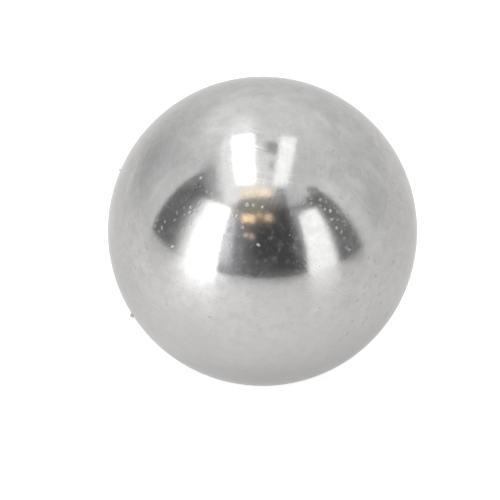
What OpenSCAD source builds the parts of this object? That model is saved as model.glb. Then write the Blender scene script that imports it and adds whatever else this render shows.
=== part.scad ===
// Polished steel ball, a loose part as used in bearings, detents and catches.
// It is one solid, ground and lapped to a true sphere with no flat, seam or hole.
// The origin is the ball's centre, with +Z up.

/* [Ball] */
// Diameter of the ball
ball_d = 7; // [1:0.1:50]

/* [Hidden] */

// Facets round the ball, where it is shown as a mesh
$fn = 180;

// Bright polished steel
steel_colour = [0.72, 0.72, 0.71];

// The ball, whole and unbroken
module ball() {
    color(steel_colour)
        sphere(d = ball_d);
}

ball();
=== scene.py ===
import math
import random

import bmesh
import bpy
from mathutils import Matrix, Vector, noise
from mathutils.kdtree import KDTree


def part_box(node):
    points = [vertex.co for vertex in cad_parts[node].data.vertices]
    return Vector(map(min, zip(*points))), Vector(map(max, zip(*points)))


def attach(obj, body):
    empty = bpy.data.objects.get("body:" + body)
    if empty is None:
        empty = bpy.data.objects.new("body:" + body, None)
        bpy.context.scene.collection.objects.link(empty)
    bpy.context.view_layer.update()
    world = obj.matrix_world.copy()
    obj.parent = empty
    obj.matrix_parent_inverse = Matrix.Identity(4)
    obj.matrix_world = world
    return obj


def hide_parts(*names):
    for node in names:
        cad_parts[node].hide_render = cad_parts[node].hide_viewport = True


# A loose polished steel ball with the dust that has settled on it. It stands in a white light tent
# and mirrors the tent, its two softboxes, its overhead strips and the dark opening at its front.

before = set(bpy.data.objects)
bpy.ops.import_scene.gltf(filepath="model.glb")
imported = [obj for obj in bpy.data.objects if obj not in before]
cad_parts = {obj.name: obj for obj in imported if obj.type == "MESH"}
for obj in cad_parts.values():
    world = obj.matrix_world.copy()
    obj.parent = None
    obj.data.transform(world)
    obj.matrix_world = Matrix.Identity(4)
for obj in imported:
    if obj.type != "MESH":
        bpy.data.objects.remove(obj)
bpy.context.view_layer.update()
lowCorner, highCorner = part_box("ball")
ballRadius = (highCorner.z - lowCorner.z) / 2
floorLevel = lowCorner.z


# Camera

view = {
    "pictureWidth": 500,  # pixels
    "ballWidth": 309.6,  # pixels
    "ballCentre": (262.5, 231.2),  # pixels from the left and the top
    "elevation": 35,  # degrees above the floor
    "distance": 0.3,  # metres
    "lens": 100,  # mm, with the sensor cropped to the ball
    "clip": (0.01, 10),  # the nearest and farthest that shows, in distances
}
tilt = math.radians(view["elevation"])
viewRight = Vector((1, 0, 0))
viewUp = Vector((0, math.sin(tilt), math.cos(tilt)))
viewBack = Vector((0, -math.cos(tilt), math.sin(tilt)))
metresPerPixel = 2 * ballRadius / view["ballWidth"]


def pictureOffset(pixel):
    across = (pixel[0] - view["ballCentre"][0]) * metresPerPixel
    upward = (view["ballCentre"][1] - pixel[1]) * metresPerPixel
    return across, upward


def placeCamera():
    middle = view["pictureWidth"] / 2
    across, upward = pictureOffset((middle, middle))
    camera = bpy.data.cameras.new("macroCamera")
    camera.lens = view["lens"]
    camera.sensor_width = view["lens"] * view["pictureWidth"] * metresPerPixel / view["distance"]
    camera.clip_start = view["distance"] * view["clip"][0]
    camera.clip_end = view["distance"] * view["clip"][1]
    holder = bpy.data.objects.new("macroCamera", camera)
    holder.location = viewRight * across + viewUp * upward + viewBack * view["distance"]
    holder.rotation_euler = (math.pi / 2 - tilt, 0, 0)
    bpy.context.scene.collection.objects.link(holder)
    bpy.context.scene.camera = holder
    print(f"camera: {view['elevation']} degrees up, {view['distance']} m away")


# Node trees

class Wire:
    # a socket in a node tree: sums on it add Math nodes, and add() makes any other node
    def __init__(self, tree, socket=None):
        self.tree = tree
        self.socket = socket

    def add(self, kind, settings=None, sockets=None, output=0):
        node = self.tree.nodes.new(kind)
        for name, value in (settings or {}).items():
            setattr(node, name, value)
        for name, value in (sockets or {}).items():
            if isinstance(value, Wire):
                self.tree.links.new(value.socket, node.inputs[name])
            else:
                node.inputs[name].default_value = value
        return Wire(self.tree, node.outputs[output]) if len(node.outputs) else node

    def calc(self, operation, first, second=0.0):
        return self.add("ShaderNodeMath", {"operation": operation}, {0: first, 1: second})

    def vector(self, operation, first, second=(0, 0, 0)):
        slot = "Scale" if operation == "SCALE" else 1
        output = "Value" if operation in ("DOT_PRODUCT", "LENGTH") else "Vector"
        return self.add("ShaderNodeVectorMath", {"operation": operation}, {0: first, slot: second}, output)

    def parts(self):  # every output of the node that this socket is on
        return [Wire(self.tree, socket) for socket in self.socket.node.outputs]

    def blend(self, factor, first, second):  # sockets 6 and 7 are the node's two colours
        settings = {"data_type": "RGBA"}
        return self.add("ShaderNodeMix", settings, {0: factor, 6: first, 7: second}, 2)

    def band(self, low, high):  # 0 below low, 1 above high, smooth between
        settings = {"interpolation_type": "SMOOTHSTEP"}
        return self.add("ShaderNodeMapRange", settings, {0: self, 1: low, 2: high})

    def __add__(self, other):
        return self.calc("ADD", self, other)

    def __sub__(self, other):
        return self.calc("SUBTRACT", self, other)

    def __rsub__(self, other):
        return self.calc("SUBTRACT", other, self)

    def __mul__(self, other):
        return self.calc("MULTIPLY", self, other)

    def __pow__(self, other):
        return self.calc("POWER", self, other)

    __radd__ = __add__
    __rmul__ = __mul__


def newMaterial(name):
    material = bpy.data.materials.new(name)
    material.use_nodes = True
    material.node_tree.nodes.clear()
    return material, Wire(material.node_tree)


def finishMaterial(wire, shader):
    wire.add("ShaderNodeOutputMaterial", {}, {"Surface": shader})


def newGrowth(name, sockets):
    tree = bpy.data.node_groups.new(name, "GeometryNodeTree")
    for title, kind in sockets.items():
        tree.interface.new_socket(title, in_out="INPUT", socket_type="NodeSocket" + kind)
    tree.interface.new_socket("Geometry", in_out="OUTPUT", socket_type="NodeSocketGeometry")
    source = tree.nodes.new("NodeGroupInput")
    return tree, Wire(tree), {title: Wire(tree, source.outputs[title]) for title in sockets}


def finishGrowth(wire, shape, material):
    shape = wire.add("GeometryNodeRealizeInstances", {}, {"Geometry": shape})
    shape = wire.add("GeometryNodeSetMaterial", {}, {"Geometry": shape, "Material": material})
    wire.add("NodeGroupOutput", {}, {"Geometry": shape})


def grow(name, tree, values, startPoints=()):
    mesh = bpy.data.meshes.new(name)
    mesh.from_pydata([point for point, _ in startPoints], [], [])
    halves = mesh.attributes.new("half", "FLOAT", "POINT")
    for entry, (_, half) in zip(halves.data, startPoints):
        entry.value = half
    piece = bpy.data.objects.new(name, mesh)
    bpy.context.scene.collection.objects.link(piece)
    modifier = piece.modifiers.new(name, "NODES")
    modifier.node_group = tree
    for item in tree.interface.items_tree:
        if item.in_out == "INPUT" and item.name in values:
            modifier[item.identifier] = values[item.name]
    graph = bpy.context.evaluated_depsgraph_get()
    grown = bpy.data.meshes.new_from_object(piece.evaluated_get(graph), depsgraph=graph)
    piece.modifiers.remove(modifier)
    piece.data = grown
    grown.name = name
    print(f"{name}: {len(grown.vertices)} points, {len(grown.polygons)} faces")
    return piece


# The ball

def onBall(pixel):
    across, upward = pictureOffset(pixel)
    depth = math.sqrt(max(ballRadius ** 2 - across ** 2 - upward ** 2, 0.0))
    nearer = 1 - depth / view["distance"]  # what is nearer the camera looks larger
    place = viewRight * across * nearer + viewUp * upward * nearer + viewBack * depth
    return place.normalized() * ballRadius


ballFinish = {
    "segments": 88,  # mesh squares along each side of the cube that the ball is grown from
    "colour": (0.533, 0.529, 0.525),  # what polished bearing steel sends back
    "roughness": 0.1,
    "edgeTint": 0.96,  # what is left of the sheen at the rim
    "peel": 0.0000007,  # metres, how far the polish waves
    "clouds": {  # lumps to a radius, detail, where it starts, where it is full, shift
        "haze": (2.4, 5.0, 0.35, 0.7, 0.0),
        "mottle": (15.0, 5.0, 0.4, 0.65, 11.0),
        "patches": (3.5, 4.0, 0.36, 0.6, 20.0),
        "smears": (26.0, 4.0, 0.45, 0.75, 40.0),
        "wave": (19.0, 3.0, 0.0, 1.0, 30.0),
    },
    "cloudRoughness": 0.6,
    "hazeColour": (0.492, 0.489, 0.486),
    "hazeRoughness": 0.04,  # added where the polish is hazy
    "mottleColour": (0.467, 0.464, 0.46),
    "mottleStrength": 0.9,
    "mottleBelow": 0.45,  # share of it on the underside
    "dirtyFrom": (-0.4, 0.2),  # heights in radii, where the dirt of the upper side starts and is full
    "tracks": [  # axes that the ball turned on as it was lapped, lines to a radius, shift of their wear
        ((0.12, 0.05, 0.99), 90.0, 3.0),
        ((-0.62, -0.35, 0.7), 75.0, 7.0),
        ((0.75, -0.2, 0.63), 85.0, 11.0),
        ((0.9, 0.3, -0.3), 95.0, 15.0),
        ((0.1, -0.9, 0.4), 80.0, 19.0),
    ],
    "trackCloud": (4.0, 4.0, 0.48, 0.7),  # where they show, as the clouds above but for the shift
    "trackDetail": 3.0,
    "trackBand": (0.5, 0.8),
    "trackColour": (0.6, 0.6, 0.6),
    "trackStrength": 0.6,
    "trackRoughness": 0.05,
    "wipes": [  # where a cloth left lighter lines, between two pixels of the picture
        ((222, 101), (256, 89)),
        ((276, 98), (312, 97)),
        ((204, 132), (228, 129)),
        ((314, 112), (332, 130)),
        ((336, 127), (354, 138)),
        ((364, 162), (388, 190)),
        ((346, 178), (364, 190)),
        ((400, 176), (412, 204)),
        ((318, 180), (342, 202)),
        ((150, 200), (172, 172)),
        ((126, 196), (140, 160)),
    ],
    "wipeLines": 225.0,  # to a radius
    "wipeShift": 45.0,  # so that no two have the same lines
    "wipeDetail": 1.0,
    "wipeBand": (0.4, 0.65),
    "wipeWidth": 0.06,  # radii to each side
    "wipeColour": (0.67, 0.668, 0.665),
    "wipeStrength": 0.8,
    "speckScale": 55.0,  # specks to a radius
    "speckRarity": 3.0,  # the higher, the fewer large ones
    "speckSize": 0.45,
    "speckEdge": 0.12,
    "speckDulling": 0.3,  # how much less metallic they are
    "smearDulling": 0.14,
    "cleanAt": (268, 242),  # pixel of the picture, the middle of the part that was wiped clean
    "cleanReach": (0.15, 0.3),  # radii from there, where the specks begin and where none is missing
    "cleanLeft": 0.2,  # share of the specks in the middle of it
    "dirtColour": (0.36, 0.35, 0.33),  # what has settled in the nicks
    "dirtRoughness": 0.3,
    "dirtDulling": 0.75,
}


def cloud(wire, spot, settings):
    scale, detail, start, full, shift = settings
    pattern = wire.add("ShaderNodeTexNoise", {}, {
        "Vector": wire.vector("ADD", spot, (shift, shift, shift)),
        "Scale": scale,
        "Detail": detail,
        "Roughness": ballFinish["cloudRoughness"],
    })
    return pattern.band(start, full)


def fineLines(wire, along, detail):
    return wire.add("ShaderNodeTexNoise", {"noise_dimensions": "1D"}, {
        "W": along,
        "Scale": 1.0,
        "Detail": detail,
    })


def lappingLines(wire, spot):
    tracks = 0.0
    for axis, lines, shift in ballFinish["tracks"]:
        along = wire.vector("DOT_PRODUCT", spot, Vector(axis).normalized()) * lines
        line = fineLines(wire, along, ballFinish["trackDetail"]).band(*ballFinish["trackBand"])
        tracks = tracks + line * cloud(wire, spot, (*ballFinish["trackCloud"], shift))
    return tracks


def wipeMarks(wire, spot):
    wipes = 0.0
    for number, (first, last) in enumerate(ballFinish["wipes"]):
        start = onBall(first).normalized()
        end = onBall(last).normalized()
        middle = (start + end).normalized()
        beside = wire.vector("DOT_PRODUCT", spot, start.cross(end).normalized())
        along = beside * ballFinish["wipeLines"] + ballFinish["wipeShift"] * number
        line = fineLines(wire, along, ballFinish["wipeDetail"]).band(*ballFinish["wipeBand"])
        near = wire.vector("DOT_PRODUCT", spot, middle).band(middle.dot(end) ** 2, 1.0)
        close = 1 - wire.calc("ABSOLUTE", beside).band(0.0, ballFinish["wipeWidth"])
        wipes = wipes + line * near * close
    return wipes


def dirtSpecks(wire, spot, patches):
    cells = wire.add("ShaderNodeTexVoronoi", {}, {
        "Vector": spot,
        "Scale": ballFinish["speckScale"],
    }).parts()
    chance = wire.add("ShaderNodeSeparateColor", {}, {0: cells[1]})
    size = chance ** ballFinish["speckRarity"] * ballFinish["speckSize"]
    cleanSpot = onBall(ballFinish["cleanAt"]) / ballRadius
    away = wire.vector("LENGTH", wire.vector("SUBTRACT", spot, cleanSpot))
    least = ballFinish["cleanLeft"]
    share = least + (1 - least) * away.band(*ballFinish["cleanReach"])
    return (size - cells[0]).band(0.0, ballFinish["speckEdge"]) * patches * share


def mirrorSteel():
    material, wire = newMaterial("mirrorSteel")
    place = wire.add("ShaderNodeTexCoord", output="Object")
    spot = wire.vector("SCALE", place, 1 / ballRadius)
    clouds = {name: cloud(wire, spot, settings) for name, settings in ballFinish["clouds"].items()}
    upper = wire.add("ShaderNodeSeparateXYZ", {}, {0: spot}, "Z").band(*ballFinish["dirtyFrom"])
    below = ballFinish["mottleBelow"]
    mottle = clouds["mottle"] * (below + upper * (1 - below))
    patches = clouds["patches"] * upper
    smears = clouds["smears"] * patches
    specks = dirtSpecks(wire, spot, patches)
    tracks = lappingLines(wire, spot)
    wipes = wipeMarks(wire, spot)
    dirt = wire.add("ShaderNodeAttribute", {"attribute_name": "nick"}, output="Fac")
    colour = wire.blend(clouds["haze"], (*ballFinish["colour"], 1), (*ballFinish["hazeColour"], 1))
    for layer, tint in (
        (mottle * ballFinish["mottleStrength"], "mottleColour"),
        (tracks * ballFinish["trackStrength"], "trackColour"),
        (wipes * ballFinish["wipeStrength"], "wipeColour"),
        (dirt, "dirtColour"),
    ):
        colour = wire.blend(layer, colour, (*ballFinish[tint], 1))
    roughness = ballFinish["roughness"] + clouds["haze"] * ballFinish["hazeRoughness"]
    roughness = roughness + (tracks + wipes) * ballFinish["trackRoughness"]
    roughness = roughness + dirt * ballFinish["dirtRoughness"]
    dulling = specks * ballFinish["speckDulling"] + smears * ballFinish["smearDulling"]
    dulling = dulling + dirt * ballFinish["dirtDulling"]
    bump = wire.add("ShaderNodeBump", {}, {
        "Strength": 1.0,
        "Distance": ballFinish["peel"],
        "Height": clouds["wave"],
    })
    steel = wire.add("ShaderNodeBsdfPrincipled", {}, {
        "Base Color": colour,
        "Metallic": 1 - dulling,
        "Roughness": roughness,
        "Specular Tint": (ballFinish["edgeTint"],) * 3 + (1,),
        "Normal": bump,
    })
    finishMaterial(wire, steel)
    return material


def growBall():
    tree, wire, given = newGrowth("lappedBall", {
        "Radius": "Float",
        "Segments": "Int",
        "Steel": "Material",
    })
    points = given["Segments"] + 1.0
    cube = wire.add("GeometryNodeMeshCube", {}, {
        "Size": (2, 2, 2),
        "Vertices X": points,
        "Vertices Y": points,
        "Vertices Z": points,
    })
    # even angles across each cube side, then out to the sphere
    angle = wire.vector("SCALE", wire.add("GeometryNodeInputPosition"), math.pi / 4)
    unit = wire.vector("NORMALIZE", wire.vector("TANGENT", angle))
    seat = wire.vector("SCALE", unit, given["Radius"])
    ball = wire.add("GeometryNodeSetPosition", {}, {"Geometry": cube, "Position": seat})
    ball = wire.add("GeometryNodeSetShadeSmooth", {}, {"Geometry": ball})
    finishGrowth(wire, ball, given["Steel"])
    return grow("steel_ball", tree, {
        "Radius": ballRadius,
        "Segments": ballFinish["segments"],
        "Steel": mirrorSteel(),
    })


nicks = {
    "cuts": 3,  # finer mesh round each nick
    "rim": 0.2,  # share of the depth that stands up round the edge
    "reach": 1.7,  # how far the rim goes, in half widths
    "stretch": 1.7,  # the most that one is longer than it is wide
    "wobble": 0.35,  # how uneven the edge is
    "dirtFill": 2,  # how fast the dirt thickens from the edge inwards
    "unseen": 60,  # loose ones over the rest of the ball
    "seed": 3,
    "deep": {
        "half": 1.5,  # half the width, pixels
        "depth": 0.13,  # share of half the width
        "dirt": 1.0,
        "at": [(201, 178), (330, 211), (173, 247), (262, 207), (258, 245), (247, 205)],
    },
    "middling": {
        "half": 1.6,
        "depth": 0.06,
        "dirt": 0.5,
        "at": [
            (190, 213), (162, 228), (242, 227), (336, 228), (341, 232), (191, 208), (253, 205), (165, 222),
            (324, 210), (331, 220), (333, 152), (162, 144), (235, 216), (349, 250), (320, 200),
        ],
    },
    "faint": {
        "half": 1.6,
        "depth": 0.015,
        "dirt": 0.28,
        "at": [
            (185, 215), (184, 208), (177, 213), (175, 220), (157, 220), (155, 226), (207, 192), (212, 194),
            (191, 224), (184, 229), (303, 203), (347, 216), (159, 232), (199, 204), (196, 211),
            (320, 206), (326, 202), (337, 220), (344, 221), (345, 225),
            (344, 238), (346, 248), (311, 204), (311, 199), (334, 208), (337, 212),
            (392, 262), (319, 308), (340, 340), (167, 305), (210, 317), (321, 116), (350, 130), (360, 174),
            (376, 166), (379, 150), (384, 182),
        ],
    },
    "smudge": {
        "half": 2.3,
        "depth": 0.01,
        "dirt": 0.26,
        "at": [
            (380, 284), (379, 294), (380, 303), (368, 258), (374, 261), (393, 262), (397, 269), (375, 276),
            (364, 286), (364, 294), (357, 300), (367, 309), (366, 318), (363, 322), (371, 326), (352, 273),
            (140, 251), (144, 275), (135, 267), (141, 268), (148, 248), (352, 321), (347, 333), (386, 313),
            (338, 133), (351, 153), (362, 148), (367, 151), (386, 150), (372, 138), (344, 107), (383, 170),
            (367, 173), (394, 184), (367, 160), (318, 166), (321, 169), (331, 173), (341, 198), (351, 199),
            (358, 170), (350, 175), (389, 202), (395, 214), (404, 202), (398, 189), (247, 86), (277, 80),
        ],
    },
    "rubbed": {
        "half": 1.9,
        "depth": 0.012,
        "dirt": 0.09,
        "at": [
            (251, 246), (293, 236), (297, 238), (295, 248), (273, 259), (257, 262), (265, 261), (297, 272),
            (279, 250), (287, 262), (244, 262), (292, 214), (270, 238), (232, 224), (238, 236), (230, 246),
        ],
    },
}


def nickSpots():
    chance = random.Random(nicks["seed"])
    spots = []

    def looseVector():
        return Vector([chance.gauss(0, 1) for _ in range(3)])

    def strike(place, kind):
        spots.append({
            "place": place,
            "half": kind["half"] * metresPerPixel,
            "depth": kind["depth"] * kind["half"] * metresPerPixel,
            "dirt": kind["dirt"],
            "lengthways": place.cross(looseVector()).normalized(),
            "stretch": chance.uniform(1, nicks["stretch"]),
        })

    kinds = [nicks[name] for name in ("deep", "middling", "faint", "smudge", "rubbed")]
    for kind in kinds:
        for pixel in kind["at"]:
            strike(onBall(pixel), kind)
    shown = len(spots)
    while len(spots) < shown + nicks["unseen"]:
        place = looseVector().normalized() * ballRadius
        if place.dot(viewBack) < 0:  # the side that the picture doesn't show
            strike(place, chance.choice(kinds))
    return spots


def lookupTree(points):
    tree = KDTree(len(points))
    for index, point in enumerate(points):
        tree.insert(point, index)
    tree.balance()
    return tree


def pressNicks(ball):
    spots = nickSpots()
    shape = bmesh.new()
    shape.from_mesh(ball.data)
    shape.faces.ensure_lookup_table()
    squares = lookupTree([face.calc_center_median() for face in shape.faces])
    squareSize = math.sqrt(shape.faces[0].calc_area())
    edges = set()
    for spot in spots:
        spot["reach"] = spot["half"] * spot["stretch"] * nicks["reach"]
        for _, index, _ in squares.find_range(spot["place"], spot["reach"] + squareSize / 2):
            edges.update(shape.faces[index].edges)
    bmesh.ops.subdivide_edges(shape, edges=list(edges), cuts=nicks["cuts"], use_grid_fill=True)
    nick = shape.verts.layers.float.new("nick")
    for vert in shape.verts:
        vert.co = vert.co.normalized() * ballRadius
    manySided = [face for face in shape.faces if len(face.verts) > 4]
    bmesh.ops.triangulate(shape, faces=manySided, ngon_method="BEAUTY")  # so that no sliver stands on edge
    shape.verts.ensure_lookup_table()
    corners = lookupTree([vert.co for vert in shape.verts])
    pressed = set()
    for spot in spots:
        for _, index, _ in corners.find_range(spot["place"], spot["reach"]):
            vert = shape.verts[index]
            offset = vert.co - spot["place"]
            along = offset.dot(spot["lengthways"])
            across = math.sqrt(max(offset.length_squared - along ** 2, 0.0))
            uneven = 1 + nicks["wobble"] * noise.noise(vert.co / spot["half"])
            share = math.hypot(along / spot["stretch"], across) / spot["half"] * uneven
            bowl = max(1 - share ** 2, 0.0)
            rim = max(1 - abs(share - 1) / (nicks["reach"] - 1), 0.0) ** 2
            vert.co -= vert.co.normalized() * spot["depth"] * (bowl - nicks["rim"] * rim)
            vert[nick] = max(vert[nick], spot["dirt"] * min(bowl * nicks["dirtFill"], 1.0))
            pressed.add(index)
    shape.normal_update()
    shape.verts.index_update()
    normals = [
        vert.normal.copy() if vert.index in pressed else vert.co.normalized() for vert in shape.verts
    ]
    shape.to_mesh(ball.data)
    shape.free()
    ball.data.normals_split_custom_set_from_vertices(normals)
    print(f"nicks: {len(spots)}, {len(ball.data.polygons)} faces on the ball")


def makeBall():
    ball = growBall()
    pressNicks(ball)
    return ball


# The dust on it

dust = {
    "colour": (0.76, 0.75, 0.72),
    "darkColour": (0.52, 0.51, 0.49),
    "fleckScale": 30.0,  # flecks of the two colours to a radius
    "fleckDetail": 3.0,
    "fleckBand": (0.4, 0.65),
    "roughness": 0.9,
    "gloss": 0.2,
    "density": 160,  # loose grains for a whole ball
    "lowest": -0.2,  # they lie above this height, in radii
    "smallest": 0.000004,  # metres, half the width of a grain
    "largest": 0.000014,
    "rarity": 3.0,  # the higher, the fewer large ones
    "shapes": 4,  # sorts of grain
    "shapeStep": 3.7,  # how far apart they are taken from the noise
    "lumpSteps": 1,  # how finely each is divided
    "lumpScale": 1.6,
    "lumpDepth": 1.3,
    "seed": 7,
    "groundSteps": 5,  # how finely the sphere that they lie on is divided
    "plainAt": [  # pixels of the picture, and half the width in metres
        ((118, 169), 0.00004), ((132.5, 315.5), 0.00006), ((201, 178), 0.00002), ((330, 211), 0.000022),
        ((173, 247), 0.00002), ((262, 207), 0.000018), ((247, 204), 0.000018), ((258, 245), 0.000018),
    ],
}


def dustGrey():
    material, wire = newMaterial("dustGrey")
    place = wire.add("ShaderNodeTexCoord", output="Object")
    spot = wire.vector("SCALE", place, 1 / ballRadius)
    fleck = wire.add("ShaderNodeTexNoise", {}, {
        "Vector": spot,
        "Scale": dust["fleckScale"],
        "Detail": dust["fleckDetail"],
    })
    dark = fleck.band(*dust["fleckBand"])
    grain = wire.add("ShaderNodeBsdfPrincipled", {}, {
        "Base Color": wire.blend(dark, (*dust["colour"], 1), (*dust["darkColour"], 1)),
        "Roughness": dust["roughness"],
        "Specular IOR Level": dust["gloss"],
    })
    finishMaterial(wire, grain)
    return material


def grainShapes(wire, place):
    lumps = wire.add("GeometryNodeJoinGeometry")
    for shape in range(dust["shapes"]):
        lump = wire.add("GeometryNodeMeshIcoSphere", {}, {"Radius": 1.0, "Subdivisions": dust["lumpSteps"]})
        shifted = wire.vector("ADD", place, (shape * dust["shapeStep"], 0, 0))
        push = wire.add("ShaderNodeTexNoise", {}, {"Vector": shifted, "Scale": dust["lumpScale"]}, "Color")
        push = wire.vector("SUBTRACT", push, (0.5, 0.5, 0.5))  # in as much as out
        push = wire.vector("SCALE", push, dust["lumpDepth"])
        lump = wire.add("GeometryNodeSetPosition", {}, {"Geometry": lump, "Offset": push})
        lump = wire.add("GeometryNodeGeometryToInstance", {}, {"Geometry": lump})
        wire.tree.links.new(lump.socket, lumps.socket.node.inputs[0])
    return lumps


def makeDust():
    tree, wire, given = newGrowth("settledDust", {
        "Geometry": "Geometry",
        "Radius": "Float",
        "Count": "Int",
        "Lowest": "Float",
        "Smallest": "Float",
        "Largest": "Float",
        "Seed": "Int",
        "Dust": "Material",
    })
    place = wire.add("GeometryNodeInputPosition")
    lumps = grainShapes(wire, place)

    def strew(points, size):
        shape = wire.add("FunctionNodeRandomValue", {"data_type": "INT"}, {
            "Min": 0,
            "Max": dust["shapes"] - 1,
            "Seed": given["Seed"],
        }, 2)
        turn = wire.add("FunctionNodeRandomValue", {"data_type": "FLOAT_VECTOR"}, {
            "Max": (math.tau, math.tau, math.tau),
            "Seed": given["Seed"],
        })
        return wire.add("GeometryNodeInstanceOnPoints", {}, {
            "Points": points,
            "Instance": lumps,
            "Pick Instance": True,
            "Instance Index": shape,
            "Rotation": turn,
            "Scale": size,
        })

    ball = wire.add("GeometryNodeMeshIcoSphere", {}, {
        "Radius": given["Radius"],
        "Subdivisions": dust["groundSteps"],
    })
    area = 4 * math.pi * given["Radius"] ** 2.0
    density = wire.calc("DIVIDE", given["Count"], area)
    height = wire.add("ShaderNodeSeparateXYZ", {}, {0: place}, "Z")
    spots = wire.add("GeometryNodeDistributePointsOnFaces", {}, {
        "Mesh": ball,
        "Selection": wire.calc("GREATER_THAN", height, given["Lowest"]),
        "Density": density,
        "Seed": given["Seed"],
    })
    chance = wire.add("FunctionNodeRandomValue", {"data_type": "FLOAT"}, {"Seed": given["Seed"]}, 1)
    size = given["Smallest"] + (given["Largest"] - given["Smallest"]) * chance ** dust["rarity"]
    plain = wire.add("GeometryNodeMeshToPoints", {}, {"Mesh": given["Geometry"]})
    half = wire.add("GeometryNodeInputNamedAttribute", {"data_type": "FLOAT"}, {"Name": "half"})
    both = wire.add("GeometryNodeJoinGeometry")
    for grains in (strew(spots, size), strew(plain, half)):
        wire.tree.links.new(grains.socket, both.socket.node.inputs[0])
    finishGrowth(wire, both, given["Dust"])
    return grow("settled_dust", tree, {
        "Radius": ballRadius,
        "Count": dust["density"],
        "Lowest": dust["lowest"] * ballRadius,
        "Smallest": dust["smallest"],
        "Largest": dust["largest"],
        "Seed": dust["seed"],
        "Dust": dustGrey(),
    }, [(onBall(pixel), half) for pixel, half in dust["plainAt"]])


# The tent, its lights and its dark opening. Directions are degrees to the right of the camera's side
# and above the floor, as seen from the ball, and tones are radiance.

tent = {
    "horizon": 0.83,  # tone of the cloth at the floor
    "rise": 0.12,  # how much lighter it is overhead
    "shades": [  # where it is darker or, below zero, lighter: direction, sharpness, depth
        (-130, 8, 20, 0.2),
        (140, 5, 6, 0.03),
        (100, 8, 150, 0.05),
        (-115, 12, 60, -0.05),
        (178, 18, 4, -0.08),
    ],
    "roof": 0.5,  # metres above the ball
    "panelGap": 0.01,  # how far each panel hangs under the one before, as a share of that
}


def card(tone, corners, soft=0.04, reach=0.5):
    # soft is how far the edge fades, as a share of the card: left, right, low and high
    edges = soft if isinstance(soft, tuple) else (soft,) * 4
    return {"tone": tone, "corners": corners, "soft": edges, "reach": reach}


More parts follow.
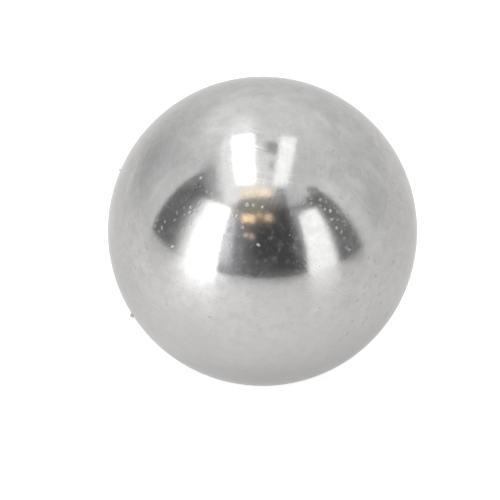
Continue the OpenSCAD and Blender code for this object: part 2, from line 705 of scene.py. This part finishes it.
wallCards = {  # corners from low left round to high left, and reach in metres from the ball
    "leftFlare": card(1.02, [(-112, -3), (-90, -3), (-93, 58), (-116, 50)], (0.8, 0.02, 0.05, 0.3), 0.62),
    "rightFlare": card(1.03, [(70, -3), (95, -3), (94, 48), (62, 58)], (0.05, 0.32, 0.05, 0.25), 0.62),
    "darkLeft": card(0.23, [(-92, -1), (-58, -1), (-56, 49.5), (-96, 60)], (0.05, 0.4, 0.06, 0.06), 0.6),
    "leftTip": card(0.66, [(-95, 42), (-60, 42), (-56, 49.5), (-96, 60)], (0.05, 0.05, 0.8, 0.06), 0.58),
    "boxGlow": card(0.67, [(-75, -3), (-58, -3), (-58, 46), (-82, 47)], (0.85, 0.05, 0.02, 0.25), 0.57),
    "leftVeil": card(0.4, [(-93, 28), (-84, 28), (-80, 50), (-94, 54)], (0.1, 0.7, 0.5, 0.25), 0.565),
    "darkCentre": card(
        0.1, [(-34, -0.5), (33.5, -1.5), (30, 56), (-29, 56)],
        (0.02, 0.04, 0.05, 0.08), 0.6,
    ),
    "frontHaze": card(0.17, [(-15, 1), (14, 1), (14, 17), (-15, 17)], 0.4, 0.45),
    "footHaze": card(0.21, [(-10, -1), (32, -1), (32, 8), (-10, 8)], (0.3, 0.1, 0.05, 0.8), 0.46),
    "rightRim": card(0.42, [(27, 46), (58, 39), (56, 47), (29.5, 50.5)], (0.1, 0.1, 0.02, 0.3), 0.55),
    "darkTop": card(0.5, [(-34, 46), (28.5, 46), (37.5, 63), (-28, 58)], (0.03, 0.03, 0.5, 0.08), 0.44),
    "topGlow": card(
        (0.48, 0.455, 0.41), [(-34, 37), (22, 37), (28, 61), (-28, 57)],
        (0.03, 0.7, 0.5, 0.1), 0.42,
    ),
    "paleFade": card(
        (0.54, 0.54, 0.57), [(-45, -0.5), (0, -0.5), (-2, 47), (-45, 46)],
        (0.01, 0.7, 0.06, 0.15), 0.412,
    ),
    "rightFringe": card(0.4, [(21, 0), (42, 0), (42, 46), (23, 47)], (0.7, 0.01, 0.45, 0.15), 0.41),
    "paleEdge": card(
        (1.2, 1.2, 1.27), [(-45, -1), (-19, -1), (-24, 47), (-45, 46)],
        (0.01, 0.32, 0.38, 0.2), 0.408,
    ),
    "leftSoftbox": card(
        3.0, [(-69.5, -3), (-32.3, -3), (-33.5, 47.5), (-71, 41.5)],
        (0.68, 0.04, 0.02, 0.03), 0.4,
    ),
    "boxGap": card(0.2, [(-31, 29), (-28, 29), (-28, 36), (-31, 36)], 0.4, 0.395),
    "amberGlow": card((0.33, 0.27, 0.2), [(-24, 36), (12, 37), (13, 50), (-25, 50)], 0.4, 0.39),
    "amberFirst": card((1.0, 0.9, 0.85), [(-29, 44), (-24.5, 44), (-25, 48), (-29.5, 48)], 0.35, 0.38),
    "amberLeft": card((2.2, 1.66, 1.02), [(-21.5, 39.5), (-6.5, 40.5), (-7, 47), (-23, 46)], 0.16, 0.38),
    "amberMiddle": card((1.4, 1.1, 0.6), [(-6, 44), (-0.5, 44), (-0.5, 49.5), (-6, 49.5)], 0.25, 0.38),
    "amberRight": card(
        (1.8, 1.34, 0.94), [(1.5, 41), (10, 41), (10.5, 47.5), (1.5, 47.5)],
        (0.25, 0.15, 0.45, 0.15), 0.38,
    ),
    "amberLow": card((1.6, 1.35, 1.15), [(-16.5, 29), (-11.5, 29.5), (-12, 33.5), (-17, 33)], 0.35, 0.38),
    "amberLast": card((1.3, 0.95, 0.7), [(-11.5, 28), (-6.5, 28), (-7, 33.5), (-12, 33.5)], 0.35, 0.38),
    "creamBand": card(
        (1.88, 1.62, 1.26), [(-30, 55.5), (22, 58), (28, 65.5), (-40, 63.5)],
        (0.05, 0.3, 0.2, 0.35), 0.37,
    ),
    "gapLine": card(0.2, [(22.5, 50), (27.5, 49.5), (35.5, 60), (31, 61.5)], (0.35, 0.2, 0.3, 0.35), 0.36),
    "rightTip": card(0.46, [(57, 46), (70, 41), (73, 51), (61, 57)], (0.15, 0.15, 0.05, 0.3), 0.17),
    "darkRight": card(0.28, [(50, -3), (82, -3), (74, 45), (49, 52)], (0.15, 0.27, 0.01, 0.06), 0.16),
    "rightSoftbox": card(
        1.82, [(32.4, -1.3), (59.5, -1.3), (60, 41.2), (35.3, 43.2)],
        (0.03, 0.33, 0.01, 0.08), 0.15,
    ),
}
roofPanels = {  # corners across and back, as shares of the height
    "roofGlow": card(1.12, [(-1.2, -0.6), (1.2, -0.6), (1.2, 2.8), (-1.2, 2.8)], (0.3, 0.3, 0.2, 0.45)),
    "leftDim": card(
        0.78, [(-1.0, -0.15), (-0.56, -0.15), (-0.56, 0.36), (-1.0, 0.36)],
        (0.4, 0.25, 0.2, 0.6),
    ),
    "rightDim": card(0.97, [(0.36, -0.5), (1.3, -0.5), (1.3, 0.8), (0.36, 0.8)], (0.05, 0.5, 0.3, 0.5)),
    "roofPeak": card(
        1.22, [(-0.95, 0.25), (0.05, 0.25), (0.05, 3.0), (-0.95, 3.0)],
        (0.45, 0.45, 0.3, 0.6),
    ),
    "stripGlow": card(1.5, [(-0.48, 0.4), (0.02, 0.4), (0.0, 1.1), (-0.42, 1.1)], (0.3, 0.4, 0.1, 0.6)),
    "leftGlow": card(
        1.54, [(-0.72, -0.74), (-0.3, -0.74), (-0.3, 0.6), (-0.5, 0.55)],
        (0.4, 0.05, 0.08, 0.2),
    ),
    "gapGlow": card(1.34, [(-0.32, -0.52), (0.2, -0.52), (0.2, 0.5), (-0.15, 0.5)], (0.05, 0.4, 0.05, 0.4)),
    "leftStrip": card(
        3.6, [(-0.345, -0.36), (-0.085, -0.37), (-0.085, 0.43), (-0.345, 0.45)],
        (0.05, 0.1, 0.05, 0.05),
    ),
    "rightStrip": card(1.88, [(0.12, -0.4), (0.335, -0.39), (0.395, 0.45), (0.2, 0.41)], 0.05),
    "gapShade": card(0.6, [(0.05, -0.18), (0.165, -0.18), (0.165, 0.0), (0.05, 0.0)], 0.45),
    "stripGap": card(
        0.55, [(-0.04, 0.07), (0.18, 0.0), (0.2, 0.32), (-0.02, 0.34)],
        (0.5, 0.2, 0.35, 0.35),
    ),
    "gapPale": card((1.22, 1.25, 1.28), [(-0.02, 0.0), (0.07, 0.0), (0.07, 0.09), (-0.02, 0.09)], 0.35),
}
cardSteps = 8  # mesh squares along each side of a card


def direction(azimuth, elevation):
    turn = math.radians(azimuth)
    lift = math.radians(elevation)
    return Vector((
        math.sin(turn) * math.cos(lift),
        -math.cos(turn) * math.cos(lift),
        math.sin(lift),
    ))


def cardLight(name, tone, soft):
    material, wire = newMaterial(name)
    colour = tone if isinstance(tone, tuple) else (tone,) * 3
    glow = wire.add("ShaderNodeEmission", {}, {"Color": (*colour, 1), "Strength": 1.0})
    place = wire.add("ShaderNodeUVMap", {"uv_map": "card"})
    across, up, _ = wire.add("ShaderNodeSeparateXYZ", {}, {0: place}).parts()
    left, right, low, high = soft
    cover = across.band(0.0, left) * (1 - across).band(0.0, right)
    cover = cover * up.band(0.0, low) * (1 - up).band(0.0, high)
    clear = wire.add("ShaderNodeBsdfTransparent")
    finishMaterial(wire, wire.add("ShaderNodeMixShader", {}, {0: cover, 1: clear, 2: glow}))
    return material


def hangCard(name, corners, design, bent):
    points = []
    shares = []
    for row in range(cardSteps + 1):
        for column in range(cardSteps + 1):
            up = row / cardSteps
            along = column / cardSteps
            low = corners[0].lerp(corners[1], along)
            high = corners[3].lerp(corners[2], along)
            point = low.lerp(high, up)
            points.append(point.normalized() * design["reach"] if bent else point)
            shares.append((along, up))
    width = cardSteps + 1
    faces = []
    for row in range(cardSteps):
        for column in range(cardSteps):
            first = row * width + column
            faces.append((first, first + 1, first + width + 1, first + width))
    mesh = bpy.data.meshes.new(name)
    mesh.from_pydata(points, [], faces)
    mapped = mesh.uv_layers.new(name="card")
    for loop in mesh.loops:
        mapped.data[loop.index].uv = shares[loop.vertex_index]
    mesh.materials.append(cardLight(name, design["tone"], design["soft"]))
    holder = bpy.data.objects.new(name, mesh)
    bpy.context.scene.collection.objects.link(holder)
    holder.visible_camera = False


def hangCards():
    for name, wall in wallCards.items():
        hangCard(name, [direction(*corner) for corner in wall["corners"]], wall, True)
    for layer, (name, panel) in enumerate(roofPanels.items()):
        height = tent["roof"] * (1 - tent["panelGap"] * layer)
        hangCard(name, [Vector((x, y, 1)) * height for x, y in panel["corners"]], panel, False)
    print(f"tent: {len(wallCards)} wall cards and {len(roofPanels)} roof panels")


tentFloor = {
    "width": 1.6,  # metres
    "colour": (0.54, 0.538, 0.529),
    "roughness": 0.3,
    "gloss": 0.15,
    "glow": 0.355,  # painted light: it glows all over, more at the front, and less behind the ball, which is painted shade
    "glowSide": -20,  # degrees, where the painted light is strongest
    "sideGlow": 0.15,
    "farGlow": 0.33,
    "farSideGlow": 0.15,
    "fade": (0.006, 0.03),  # metres from the ball
    # painted pools of light, and below zero painted shade, for what the softboxes and dark cards do to it:
    # direction, sharpness, strength, and the metres from the ball where each starts and is full
    "pools": [
        (-47, 34, 1.0, 0.0005, 0.05),
        (-50, 14, 0.28, 0.012, 0.004),
        (-57, 10, 0.26, 0.04, 0.004),
        (-77, 50, 0.06, 0.012, 0.025),
        (-72, 24, -0.13, 0.035, 0.08),
        (-34, 150, 0.42, 0.03, 0.08),
        (-5, 10, 0.1, 0.008, 0.016),
        (0, 8, -0.24, 0.03, 0.08),
        (25, 60, -0.18, 0.04, 0.1),
        (30, 2, -0.09, 0.005, 0.003),
        (43, 30, 0.24, 0.012, 0.05),
        (68, 40, -0.32, 0.03, 0.06),
        (89, 60, 0.1, 0.02, 0.06),
        (95, 10, -0.06, 0.009, 0.003),
        (100, 60, -0.06, 0.02, 0.06),
        (135, 4, -0.06, 0.03, 0.08),
        (138, 40, 0.07, 0.006, 0.01),
        (-98, 30, -0.08, 0.012, 0.03),
        (-100, 12, -0.08, 0.014, 0.006),
        (-115, 3, -0.32, 0.009, 0.003),
        (-128, 10, -0.12, 0.015, 0.06),
        (-150, 10, -0.05, 0.03, 0.08),
    ],
    "cameraGlow": 0.42,  # the picture's ground is brighter still
}


def layFloor():
    material, wire = newMaterial("paleFloor")
    place = wire.add("ShaderNodeTexCoord", output="Object")
    away = wire.vector("LENGTH", place)
    outward = wire.vector("NORMALIZE", place)

    def facing(azimuth):
        return wire.vector("DOT_PRODUCT", outward, direction(azimuth, 0))

    # painted light and shade on the floor: brighter towards the softboxes at the front, darker behind the
    # ball, with painted pools of both
    front = facing(tentFloor["glowSide"])
    near = tentFloor["glow"] + front * tentFloor["sideGlow"]
    far = tentFloor["farGlow"] + front * tentFloor["farSideGlow"]
    glow = near + away.band(*tentFloor["fade"]) * (far - near)
    # each pool adds painted light, or painted shade where its strength is below zero
    for azimuth, sharpness, strength, start, full in tentFloor["pools"]:
        reach = wire.add("ShaderNodeMapRange", {}, {0: away, 1: start, 2: full})
        glow = glow + wire.calc("MAXIMUM", facing(azimuth), 0.0) ** sharpness * reach * strength
    glow = glow + wire.add("ShaderNodeLightPath", output="Is Camera Ray") * tentFloor["cameraGlow"]
    sheet = wire.add("ShaderNodeBsdfPrincipled", {}, {
        "Base Color": (*tentFloor["colour"], 1),
        "Roughness": tentFloor["roughness"],
        "Specular IOR Level": tentFloor["gloss"],
        "Emission Color": glow,
        "Emission Strength": 1.0,
    })
    finishMaterial(wire, sheet)
    half = tentFloor["width"] / 2
    corners = [(-half, -half), (half, -half), (half, half), (-half, half)]
    mesh = bpy.data.meshes.new("paleFloor")
    mesh.from_pydata([(x, y, floorLevel) for x, y in corners], [], [(0, 1, 2, 3)])
    mesh.materials.append(material)
    holder = bpy.data.objects.new("paleFloor", mesh)
    bpy.context.scene.collection.objects.link(holder)
    print("floor: laid under the ball")


def pitchTent():
    world = bpy.data.worlds.new("lightTent")
    bpy.context.scene.world = world
    world.use_nodes = True
    world.node_tree.nodes.clear()
    wire = Wire(world.node_tree)
    look = wire.add("ShaderNodeTexCoord", output="Generated")
    tone = tent["horizon"] + wire.vector("DOT_PRODUCT", look, (0, 0, 1)) * tent["rise"]
    for azimuth, elevation, sharpness, depth in tent["shades"]:
        facing = wire.vector("DOT_PRODUCT", look, direction(azimuth, elevation))
        tone = tone - wire.calc("MAXIMUM", facing, 0.0) ** sharpness * depth
    glow = wire.add("ShaderNodeBackground", {}, {"Color": tone, "Strength": 1.0})
    wire.add("ShaderNodeOutputWorld", {}, {"Surface": glow})
    print("tent: pitched")


placeCamera()
ball = makeBall()
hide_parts("ball")
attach(ball, "root")
grains = makeDust()
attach(grains, "root")
pitchTent()
layFloor()
hangCards()
bpy.context.scene.view_settings.view_transform = "Standard"
